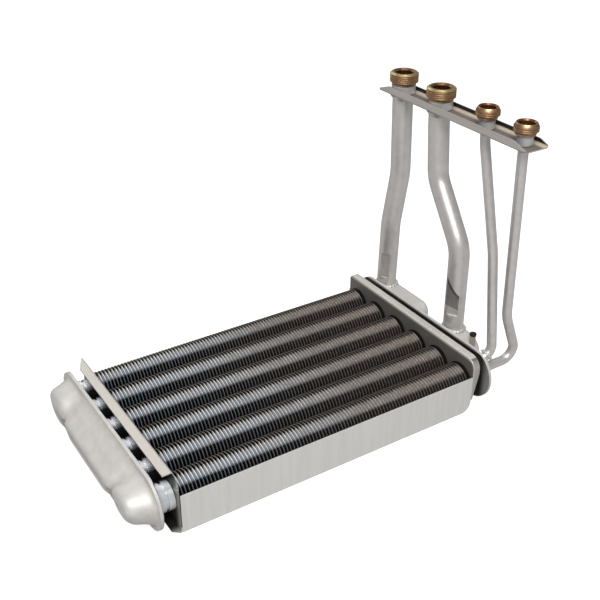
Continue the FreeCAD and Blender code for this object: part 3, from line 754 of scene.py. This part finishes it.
class Finish(Enum):
    """The finishes of the object's pieces."""

    # Painted pressings and sheets: broad soft highlights, and painted shade inside the frame and behind the
    # headers
    HEADER = HeaderPaint("header_silver_paint", "CFCCC7", "C6C3BE", roughness=0.52)
    FRAME = FramePaint("frame_silver_paint", "CBC6BE", "C5C0B8")
    # Rolled sheet under the paint leaves faint upright streaks
    SIDE = FramePaint("side_sheet_silver_paint", "DAD8D4", "D3D1CD", mottle_mm=4.0, streak=(1.0, 1.0, 14.0))
    # A thin glossier coat on bent tube, which mirrors the room in narrow bands
    PIPE = PipePaint("pipe_silver_paint", "D6D2CF", "CCC8C5", metallic=0.7, roughness=0.4)
    # Turned rings and a folded channel, greyer than the sheets
    COLLAR = SilverPaint("collar_silver_paint", "BCBEBE", "B0B2B2", metallic=0.35, roughness=0.38)
    BRACKET = BracketPaint("bracket_silver_paint", "BCB6B0", "AFA9A3", metallic=0.35, streak=(1.0, 6.0, 1.0))
    # Painted beads, whose small mottle makes each lump catch the light by itself
    WELD = SilverPaint("painted_weld", "DAD8D5", "B6B3AF", metallic=0.45, mottle_mm=2.0)
    FIN = CoatedFin()
    # Drawn tube with long marks, hidden inside the object
    COPPER = BareMetal("drawn_copper_tube", "C98F6E", "A8704F", stretch=(8.0, 1.0, 1.0))
    # Turned brass: tarnished threads, a bright cut ring at the mouth and a brown bore
    BRASS = BareMetal("turned_brass", "BE9A76", "967A60", roughness=0.43, blot_mm=4.0, stretch=(1, 1, 0.25))
    CUT_BRASS = BareMetal("fresh_cut_brass", "EBD6A0", "CDB27A", roughness=0.3, blot_mm=2.0)
    BORE_BRASS = BareMetal("oxidised_brass_bore", "B48660", "74503A", roughness=0.3, stretch=(0.4, 0.4, 6.0))
    # A thinner, darker coat on the small blind tube
    POCKET = SilverPaint("pocket_silver_paint", "A9A49D", "99948D", metallic=0.45)
    PLASTIC = MouldedPlastic()


class Palette:
    """Builds each finish once and keeps it."""

    def __init__(self) -> None:
        """Start with no material built."""
        self.built: dict[Finish, bpy.types.Material] = {}

    def get(self, finish: Finish) -> bpy.types.Material:
        """Return the material of a finish, built when first asked for.

        Args:
            finish: The finish wanted.

        Returns:
            Its one material.
        """
        if finish not in self.built:
            self.built[finish] = finish.value.material()
        return self.built[finish]

    def dress(self, node: str, finish: Finish) -> None:
        """Give a carried-over CAD node its material.

        Args:
            node: The node's name.
            finish: The finish that it takes.
        """
        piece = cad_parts[node]
        piece.data.materials.clear()
        piece.data.materials.append(self.get(finish))
        LOG.info("dressed %s in %s", node, finish.name)


def new_piece(name: str, bm: bmesh.types.BMesh, materials: list[bpy.types.Material],
              smooth_degrees: float) -> bpy.types.Object:
    """Turn a bmesh into a finished piece at the origin.

    Args:
        name: The piece's name.
        bm: The mesh, in metres in the model's frame. It is freed.
        materials: The piece's materials, in the order of its faces' indices.
        smooth_degrees: Faces that meet at less than this are shaded smooth.

    Returns:
        The new object, riding on the part's one body.
    """
    bmesh.ops.recalc_face_normals(bm, faces=bm.faces)
    for face in bm.faces:
        face.smooth = True
    limit = math.radians(smooth_degrees)
    for edge in bm.edges:
        edge.smooth = edge.calc_face_angle(0.0) < limit
    mesh = bpy.data.meshes.new(name)
    bm.to_mesh(mesh)
    bm.free()
    for material in materials:
        mesh.materials.append(material)
    piece = bpy.data.objects.new(name, mesh)
    bpy.context.scene.collection.objects.link(piece)
    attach(piece, "root")
    LOG.info("made %s with %d faces", name, len(mesh.polygons))
    return piece


def spun(profile: list[Span], steps: int, centre: Vector, axis: Vector, side: Vector,
         chooser: Callable[[float, float], int] | None = None) -> bmesh.types.BMesh:
    """Spin a closed profile all the way round an axis.

    Args:
        profile: Pairs of radius and distance along the axis, in metres.
        steps: Faces round the full turn.
        centre: A point on the axis, from which the distances count.
        axis: The axis as a unit vector.
        side: A unit vector square to the axis, along which the radius counts.
        chooser: Gives a face's material index from its radius and its distance.

    Returns:
        The new mesh.
    """
    bm = bmesh.new()
    verts = [bm.verts.new(centre + side * radius + axis * along) for radius, along in profile]
    edges = [bm.edges.new(pair) for pair in zip(verts, verts[1:] + verts[:1])]
    bmesh.ops.spin(
        bm, geom=verts + edges, cent=centre, axis=axis, angle=2 * math.pi, steps=steps,
        use_merge=True, use_duplicate=False,
    )
    bmesh.ops.remove_doubles(bm, verts=bm.verts, dist=MERGE_DISTANCE)
    if chooser:
        for face in bm.faces:
            offset = face.calc_center_median() - centre
            along = offset.dot(axis)
            face.material_index = chooser((offset - axis * along).length, along)
    return bm


@dataclass
class FinnedTubes:
    """The six finned tubes, with their fins at the pitch read off the photograph."""

    palette: Palette
    count: int = 6
    fin_pitch: float = 3.14 * MM
    fin_tip_radius: float = 15.55 * MM
    fin_tip_thickness: float = 0.95 * MM
    fin_tip_round: float = 0.25 * MM
    fin_root_thickness: float = 2.7 * MM
    tube_radius: float = 11.0 * MM
    bore_radius: float = 10.0 * MM
    fin_margin: float = 2.4 * MM
    segments: int = 40
    smooth_degrees: float = 40.0

    def profile(self, low: float, high: float, reach: float) -> list[Span]:
        """Return the closed section of one tube.

        Args:
            low: The tube's left end.
            high: The tube's right end.
            reach: How far the fins go to the left and right of the frame's middle.

        Returns:
            Pairs of radius and place along X.
        """
        points = [(self.bore_radius, high), (self.bore_radius, low), (self.tube_radius, low)]
        fins = round(2 * reach / self.fin_pitch)
        pitch = 2 * reach / fins
        root = self.fin_root_thickness / 2
        tip = self.fin_tip_thickness / 2
        flank = [
            (self.tube_radius, root),
            (self.fin_tip_radius - self.fin_tip_round, tip),
            (self.fin_tip_radius, tip - self.fin_tip_round),
        ]
        for index in range(fins):
            middle = pitch * (index + 0.5) - reach
            points += [(radius, middle - offset) for radius, offset in flank]
            points += [(radius, middle + offset) for radius, offset in reversed(flank)]
        points.append((self.tube_radius, high))
        return points

    def build(self) -> None:
        """Build every tube over its CAD node."""
        reach = (FRAME_FACE - FRAME_SHEET) * MM - self.fin_margin
        for number in range(1, self.count + 1):
            node = f"finned_tube_{number}"
            low, high = (Vector(corner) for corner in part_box(node))
            centre = Vector((0, (low.y + high.y) / 2, (low.z + high.z) / 2))
            section = self.profile(low.x, high.x, reach)
            bm = spun(section, self.segments, centre, Vector((1, 0, 0)), Vector((0, 0, 1)))
            finish = [self.palette.get(Finish.FIN)]
            piece = new_piece(f"fins_{number}", bm, finish, self.smooth_degrees)
            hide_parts(node)


@dataclass
class Frame:
    """The sheet frame's CAD nodes."""

    palette: Palette

    def build(self) -> None:
        """Dress the four sheets."""
        for side in ("left", "right"):
            self.palette.dress(f"frame_end_plate_{side}", Finish.FRAME)
        for side in ("near", "far"):
            self.palette.dress(f"side_plate_{side}", Finish.SIDE)


@dataclass(frozen=True)
class Pressing:
    """One form pressed out of a cap: a block with half-round ends and a round edge, in millimetres.

    Its top is lower than its foot by top_drop, with an edge top_edge times as round.
    Outside it the sheet falls away by wall_slope, and by top_slope at the top.
    """

    low: float
    high: float
    half_height: float
    depth: float
    edge: float
    top_drop: float = 4.5
    top_edge: float = 0.42
    top_slope: float = 5.0
    wall_slope: float = 5.0
    turn: float = 6.0

    def rise(self, across: float, up: float) -> float:
        """Return how far the form stands out at a place.

        Args:
            across: The place along Y.
            up: The height above the line of the tube axes.

        Returns:
            The rise over the brim's face, which falls away steeply outside the form.
        """
        share = min(max((up + self.turn) / (2 * self.turn), 0.0), 1.0)
        share = share * share * (3 - 2 * share)
        half_height = self.half_height - self.top_drop * share
        edge = self.edge * (1 + (self.top_edge - 1) * share)
        slope = self.wall_slope + (self.top_slope - self.wall_slope) * share
        slack = max(self.low + half_height - across, across - self.high + half_height, 0.0)
        inside = half_height - math.hypot(slack, up)
        if inside <= 0:
            return self.depth - edge + slope * inside
        if inside >= edge:
            return self.depth
        return self.depth - edge + math.sqrt(edge ** 2 - (edge - inside) ** 2)


@dataclass
class LeftCap:
    """The single header's cap as one pressed sheet, with the valleys between its bulges drawn soft.

    The sheet is laid as rings parallel to its rim. The first rings keep the rim's form,
    and the rest are smoothed in depth only.
    """

    palette: Palette
    brim_face: float = 163.2
    wall: float = 1.2
    rim_end: float = 101.6
    rim_rings: tuple = (24.5, 24.1, 22.0, 20.4, 19.6)
    face_ring: float = 19.2
    face_step: float = 0.8
    face_rings: int = 24
    fixed_rings: int = 6
    valley: float = 6.0
    line_step: float = 2.0
    arc_steps: int = 28
    smoothing: float = 0.5
    smoothing_rounds: int = 3
    smooth_degrees: float = 60.0
    pressings: tuple = (
        Pressing(-96.1, 96.1, 19.0, depth=9.0, edge=8.0),
        Pressing(-92.1, 85.1, 18.0, depth=18.5, edge=13.5, top_drop=7.5, top_slope=2.0),
        Pressing(49.5, 91.1, 17.0, depth=19.5, edge=9.0, top_drop=1.0, top_edge=0.7),
        Pressing(-51.5, 46.5, 15.5, depth=22.5, edge=12.0, top_drop=7.0, top_edge=0.35, top_slope=1.5),
        Pressing(-91.6, -54.5, 15.5, depth=22.5, edge=13.0, top_drop=1.0),
    )

    def depth(self, across: float, up: float) -> float:
        """Return the cap's depth at a place, with the forms run into one another.

        Args:
            across: The place along Y.
            up: The height above the line of the tube axes.

        Returns:
            The depth over the brim's face.
        """
        deepest = self.wall
        for form in self.pressings:
            rise = form.rise(across, up)
            overlap = max(self.valley - abs(deepest - rise), 0.0) / self.valley
            deepest = max(deepest, rise) + overlap ** 2 * self.valley / 4
        return min(deepest, max(form.depth for form in self.pressings))

    def ring(self, half_height: float) -> list[Span]:
        """Return the places of one ring, parallel to the rim.

        Args:
            half_height: Half the ring's height, which is also the radius of its ends.

        Returns:
            Pairs of place along Y and height above the line of the tube axes.
        """
        straight = self.rim_end - self.rim_rings[0]
        count = round(2 * straight / self.line_step)
        line = [straight * (2 * index / count - 1) for index in range(count + 1)]
        half = [(across, half_height) for across in line]
        for index in range(1, self.arc_steps):
            angle = math.pi * index / self.arc_steps
            half.append((straight + half_height * math.sin(angle), half_height * math.cos(angle)))
        return half + [(-across, -up) for across, up in half]

    def build(self) -> None:
        """Build the pressed sheet over its CAD node."""
        heights = [*self.rim_rings]
        heights += [self.face_ring - self.face_step * index for index in range(self.face_rings)]
        bm = bmesh.new()
        rings = []
        for half_height in heights:
            ring = []
            for across, up in self.ring(half_height):
                x = -self.brim_face - self.depth(across, up)
                ring.append(bm.verts.new(Vector((x, across, TUBE_AXIS + up)) * MM))
            rings.append(ring)
        for outer, inner in zip(rings, rings[1:]):
            for index in range(len(outer)):
                turn = (index + 1) % len(outer)
                bm.faces.new((outer[index], outer[turn], inner[turn], inner[index]))
        last = set(rings[-1])
        hole = [edge for edge in bm.edges if edge.is_boundary and last.issuperset(edge.verts)]
        bmesh.ops.contextual_create(bm, geom=hole)
        free = [vert for ring in rings[self.fixed_rings:] for vert in ring]
        for _ in range(self.smoothing_rounds):
            bmesh.ops.smooth_vert(
                bm, verts=free, factor=self.smoothing, use_axis_x=True, use_axis_y=False, use_axis_z=False,
            )
        bmesh.ops.recalc_face_normals(bm, faces=bm.faces)
        bmesh.ops.solidify(bm, geom=bm.faces[:], thickness=self.wall * MM)
        finish = [self.palette.get(Finish.HEADER)]
        piece = new_piece("pressed_cap_left", bm, finish, self.smooth_degrees)
        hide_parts("header_cap_left")


@dataclass
class Headers:
    """The two headers with what is inside them."""

    palette: Palette

    def build(self) -> None:
        """Dress the plates, the caps and the hidden tubes."""
        for side in ("left", "right"):
            self.palette.dress(f"header_tube_plate_{side}", Finish.HEADER)
        self.palette.dress("header_cap_right", Finish.HEADER)
        LeftCap(self.palette).build()
        hidden = [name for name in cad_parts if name.startswith(("inner_water_tube", "return_bend"))]
        for node in hidden + ["transfer_tube", "header_partition"]:
            self.palette.dress(node, Finish.COPPER)
        self.palette.dress("sensor_pocket", Finish.POCKET)
        self.palette.dress("sensor_cap", Finish.PLASTIC)


@dataclass(frozen=True)
class Weld:
    """A bead of weld round a pipe where it enters a header, in millimetres.

    The middle of the bead's round section stands off the pipe by offset times the
    bead, and its foot spreads. Small lumps and a slow drift vary its thickness.
    """

    name: str
    centre: Triple
    axis: Triple
    pipe_radius: float
    bead: float
    lumps: int = 22
    spread: float = 1.5
    offset: float = 0.35
    corners: int = 10
    steps_in_lump: int = 6
    thickness: float = 0.9
    lump_swell: float = 0.1
    drift_swell: float = 0.08
    drifts: int = 3

    def mesh(self) -> bmesh.types.BMesh:
        """Build the bead as a ring whose thickness swells with each lump.

        Returns:
            The new mesh.
        """
        axis = Vector(self.axis).normalized()
        side = axis.orthogonal().normalized()
        profile = []
        for index in range(self.corners):
            turn = 2 * math.pi * index / self.corners
            out = self.pipe_radius + self.bead * (self.offset + math.cos(turn))
            foot = self.spread * max(-math.sin(turn), 0.0) * max(math.cos(turn), 0.0)
            profile.append(((out + foot) * MM, self.bead * math.sin(turn) * MM))
        centre = Vector(self.centre) * MM
        bm = spun(profile, self.steps_in_lump * self.lumps, centre, axis, side)
        across = axis.cross(side)
        middle_radius = (self.pipe_radius + self.offset * self.bead) * MM
        for vert in bm.verts:
            reach = vert.co - centre
            flat = reach - axis * reach.dot(axis)
            turn = math.atan2(flat.dot(across), flat.dot(side))
            middle = centre + flat.normalized() * middle_radius
            lump = self.lump_swell * math.cos(self.lumps * turn)
            drift = self.drift_swell * math.sin(self.drifts * turn)
            vert.co = middle + (vert.co - middle) * (self.thickness + lump + drift)
        return bm


@dataclass
class Pipes:
    """The four bent pipes and the welds at their feet."""

    palette: Palette
    welds: tuple = (
        Weld("weld_heating_far", (174.8, 71.5, 46.2), (0.0, 0.0, 1.0), 9.7, bead=2.0),
        Weld("weld_heating_near", (175.8, -32.6, 46.2), (0.035, 0.05, 1.0), 9.7, bead=2.0),
        Weld("weld_water_inner", (176.2, -80.2, 41.4), (0.81, -0.08, 0.58), 4.5, bead=1.3, lumps=12),
        Weld("weld_water_outer", (176.0, -79.5, 26.6), (1.0, 0.0, 0.0), 4.5, bead=1.2, lumps=12),
    )
    smooth_degrees: float = 180.0

    def build(self) -> None:
        """Dress the pipes and lay the beads."""
        for node in ("heating_pipe_far", "heating_pipe_near", "hot_water_pipe_inner", "hot_water_pipe_outer"):
            self.palette.dress(node, Finish.PIPE)
        finish = [self.palette.get(Finish.WELD)]
        for weld in self.welds:
            new_piece(weld.name, weld.mesh(), finish, self.smooth_degrees)


@dataclass(frozen=True)
class UnionSize:
    """A union's sizes in millimetres that its node's box doesn't give.

    The thread's grooves are given as shares of its pitch: where a groove starts, where
    its floor starts and ends, and where it ends.
    """

    neck: float
    bore: float
    socket: float
    chamfer: float
    chamfer_length: float
    grooves: int
    sink: float
    cut_length: float = 1.4
    neck_land: float = 1.6
    neck_length: float = 3.3
    socket_depth: float = 3.0
    groove: Quad = (0.2, 0.48, 0.58, 0.86)
    groove_depth: float = 0.55
    lip: float = 0.25
    bore_share: float = 0.7
    segments: int = 72

    def profile(self, crest: float, length: float) -> list[Span]:
        """Return the closed section: neck, thread, chamfer, bore and socket.

        Args:
            crest: The thread's crest radius.
            length: The union's length.

        Returns:
            Pairs of radius and height over the base, in millimetres.
        """
        points = [(self.socket, 0.0), (self.neck, 0.0)]
        points += [(self.neck, self.neck_land), (crest, self.neck_length)]
        end = length - self.chamfer_length
        pitch = (end - self.neck_length) / self.grooves
        root = crest - self.groove_depth
        for index in range(self.grooves):
            start = self.neck_length + pitch * index
            heights = [start + share * pitch for share in self.groove]
            points += zip((crest, root, root, crest), heights)
        points += [
            (crest, end),
            (crest - self.chamfer, length - self.lip),
            (crest - self.chamfer - self.lip, length),
            (self.bore + self.sink, length),
            (self.bore, length - self.sink),
            (self.bore, self.socket_depth),
            (self.socket, self.socket_depth),
        ]
        return points

    def mesh(self, low: Vector, high: Vector) -> bmesh.types.BMesh:
        """Build the union between the corners of its node's box.

        Args:
            low: The box's low corner.
            high: Its high corner.

        Returns:
            The new mesh, with its faces' material indices.
        """
        crest = (high.x - low.x) / 2 / MM
        length = (high.z - low.z) / MM

        def chooser(radius: float, height: float) -> int:
            """Return one for the fresh chamfer, two for the bore and zero for the rest."""
            if radius < (self.bore + self.bore_share * self.sink) * MM and height > self.socket_depth * MM:
                return 2
            return 1 if height > (length - self.cut_length) * MM and radius < crest * MM else 0

        profile = [(radius * MM, height * MM) for radius, height in self.profile(crest, length)]
        centre = Vector(((low.x + high.x) / 2, (low.y + high.y) / 2, low.z))
        return spun(profile, self.segments, centre, Vector((0, 0, 1)), Vector((1, 0, 0)), chooser)


@dataclass
class Connections:
    """The bracket with its collars and unions."""

    palette: Palette
    heating: UnionSize = UnionSize(11.2, 8.2, 9.8, chamfer=1.4, chamfer_length=1.4, grooves=4, sink=1.5)
    hot_water: UnionSize = UnionSize(
        8.6, 7.0, 4.6, chamfer=1.6, chamfer_length=3.2, grooves=2, sink=1.3, cut_length=0.4,
    )
    smooth_degrees: float = 30.0

    def build(self) -> None:
        """Dress the bracket and the collars, and turn the unions."""
        self.palette.dress("connection_bracket", Finish.BRACKET)
        brasses = (Finish.BRASS, Finish.CUT_BRASS, Finish.BORE_BRASS)
        finishes = [self.palette.get(finish) for finish in brasses]
        for node in list(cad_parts):
            if "_collar_" in node:
                self.palette.dress(node, Finish.COLLAR)
            elif "_union_" in node:
                size = self.heating if node.startswith("heating") else self.hot_water
                low, high = (Vector(corner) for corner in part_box(node))
                bm = size.mesh(low, high)
                piece = new_piece(f"threaded_{node}", bm, finishes, self.smooth_degrees)
                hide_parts(node)


@dataclass(frozen=True)
class Lamp:
    """One soft square lamp, in metres and watts."""

    name: str
    place: Triple
    aim: Triple
    side: float
    power: float

    def build(self) -> None:
        """Hang the lamp and turn it towards its aim."""
        data = bpy.data.lights.new(self.name, "AREA")
        data.shape = "SQUARE"
        data.size = self.side
        data.energy = self.power
        holder = bpy.data.objects.new(self.name, data)
        holder.location = self.place
        towards = Vector(self.aim) - Vector(self.place)
        holder.rotation_euler = towards.to_track_quat("-Z", "Y").to_euler()
        bpy.context.scene.collection.objects.link(holder)


@dataclass
class Studio:
    """The floor, the lamps, the world and the camera."""

    azimuth: float = -32.688
    elevation: float = 30.336
    roll: float = 0.279
    target: tuple = (122.18 * MM, 154.75 * MM, 0.0)
    distance: float = 1032.73 * MM
    focal_px: float = 939.28
    image_px: float = 600.0
    sensor_mm: float = 36.0
    clip: Span = (0.01, 50.0)
    world_ambient: float = 0.4
    world_seen: float = 1.0
    world_reflected: float = 0.24
    floor_half: float = 6.0
    floor_paper: str = "ADADAD"
    floor_seen: float = 0.84
    floor_reflected: float = 0.1
    lamps: tuple = (
        Lamp("key", (-0.65, -1.0, 1.7), (0.0, 0.0, 0.05), 0.9, 38.5),
        Lamp("fill", (0.4, 0.2, 2.0), (0.0, 0.0, 0.1), 1.4, 3.0),
        Lamp("back", (0.2, 1.6, 1.4), (0.1, 0.0, 0.1), 1.4, 5.0),
    )

    def camera(self) -> None:
        """Place the camera at the photograph's viewing angle."""
        turn, rise, lean = (math.radians(value) for value in (self.azimuth, self.elevation, self.roll))
        tilt = Matrix.Rotation(math.pi / 2 - rise, 4, "X") @ Matrix.Rotation(lean, 4, "Z")
        turned = Matrix.Rotation(turn, 4, "Z") @ tilt
        turned.translation = Vector(self.target) + turned.to_3x3() @ Vector((0, 0, self.distance))
        data = bpy.data.cameras.new("camera")
        data.sensor_width = self.sensor_mm
        data.lens = self.focal_px * self.sensor_mm / self.image_px
        data.clip_start, data.clip_end = self.clip
        holder = bpy.data.objects.new("camera", data)
        holder.matrix_world = turned
        bpy.context.scene.collection.objects.link(holder)
        bpy.context.scene.camera = holder

    def level(self, tree: NodeTree, seen: float, reflected: float, ambient: float) -> Socket:
        """Return a brightness that depends on the kind of ray.

        Args:
            tree: The tree to add to.
            seen: What the camera gets.
            reflected: What glossy rays get.
            ambient: What diffuse rays get.

        Returns:
            The brightness's socket.
        """
        path = tree.add("ShaderNodeLightPath")
        value = tree.math("MULTIPLY", path.outputs["Is Camera Ray"], seen)
        value = tree.math("MULTIPLY_ADD", path.outputs["Is Glossy Ray"], reflected, value)
        return tree.math("MULTIPLY_ADD", path.outputs["Is Diffuse Ray"], ambient, value)

    def world(self) -> None:
        """Light the room evenly, with white where the eye looks."""
        world = bpy.data.worlds.new("studio")
        bpy.context.scene.world = world
        tree = NodeTree(world)
        strength = self.level(tree, self.world_seen, self.world_reflected, self.world_ambient)
        light = tree.add("ShaderNodeBackground", Color=linear("FFFFFF"), Strength=strength)
        tree.add("ShaderNodeOutputWorld", Surface=light.outputs[0])

    def floor(self) -> None:
        """Lay a pale floor that keeps the object's shadow."""
        bm = bmesh.new()
        bmesh.ops.create_grid(bm, x_segments=1, y_segments=1, size=self.floor_half)
        mesh = bpy.data.meshes.new("floor")
        bm.to_mesh(mesh)
        bm.free()
        tree = NodeTree(bpy.data.materials.new("pale_floor"))
        paper = tree.add("ShaderNodeBsdfDiffuse", Color=linear(self.floor_paper))
        lift = self.level(tree, self.floor_seen, self.floor_reflected, 0.0)
        glow = tree.add("ShaderNodeEmission", Color=linear("FFFFFF"), Strength=lift)
        both = tree.add("ShaderNodeAddShader", i0=paper.outputs[0], i1=glow.outputs[0])
        tree.add("ShaderNodeOutputMaterial", Surface=both.outputs[0])
        mesh.materials.append(tree.owner)
        plane = bpy.data.objects.new("floor", mesh)
        bpy.context.scene.collection.objects.link(plane)

    def build(self) -> None:
        """Build the whole studio."""
        self.camera()
        self.world()
        self.floor()
        for lamp in self.lamps:
            lamp.build()
        bpy.context.scene.view_settings.view_transform = "Standard"


def main() -> None:
    """Build the looks piece by piece."""
    logging.basicConfig(level=logging.INFO, format="%(message)s")
    palette = Palette()
    pieces = (Frame, Headers, FinnedTubes, Pipes, Connections)
    for group in (Studio(), *(kind(palette) for kind in pieces)):
        group.build()
        LOG.info("built %s", type(group).__name__)


if __name__ == "__main__":
    main()
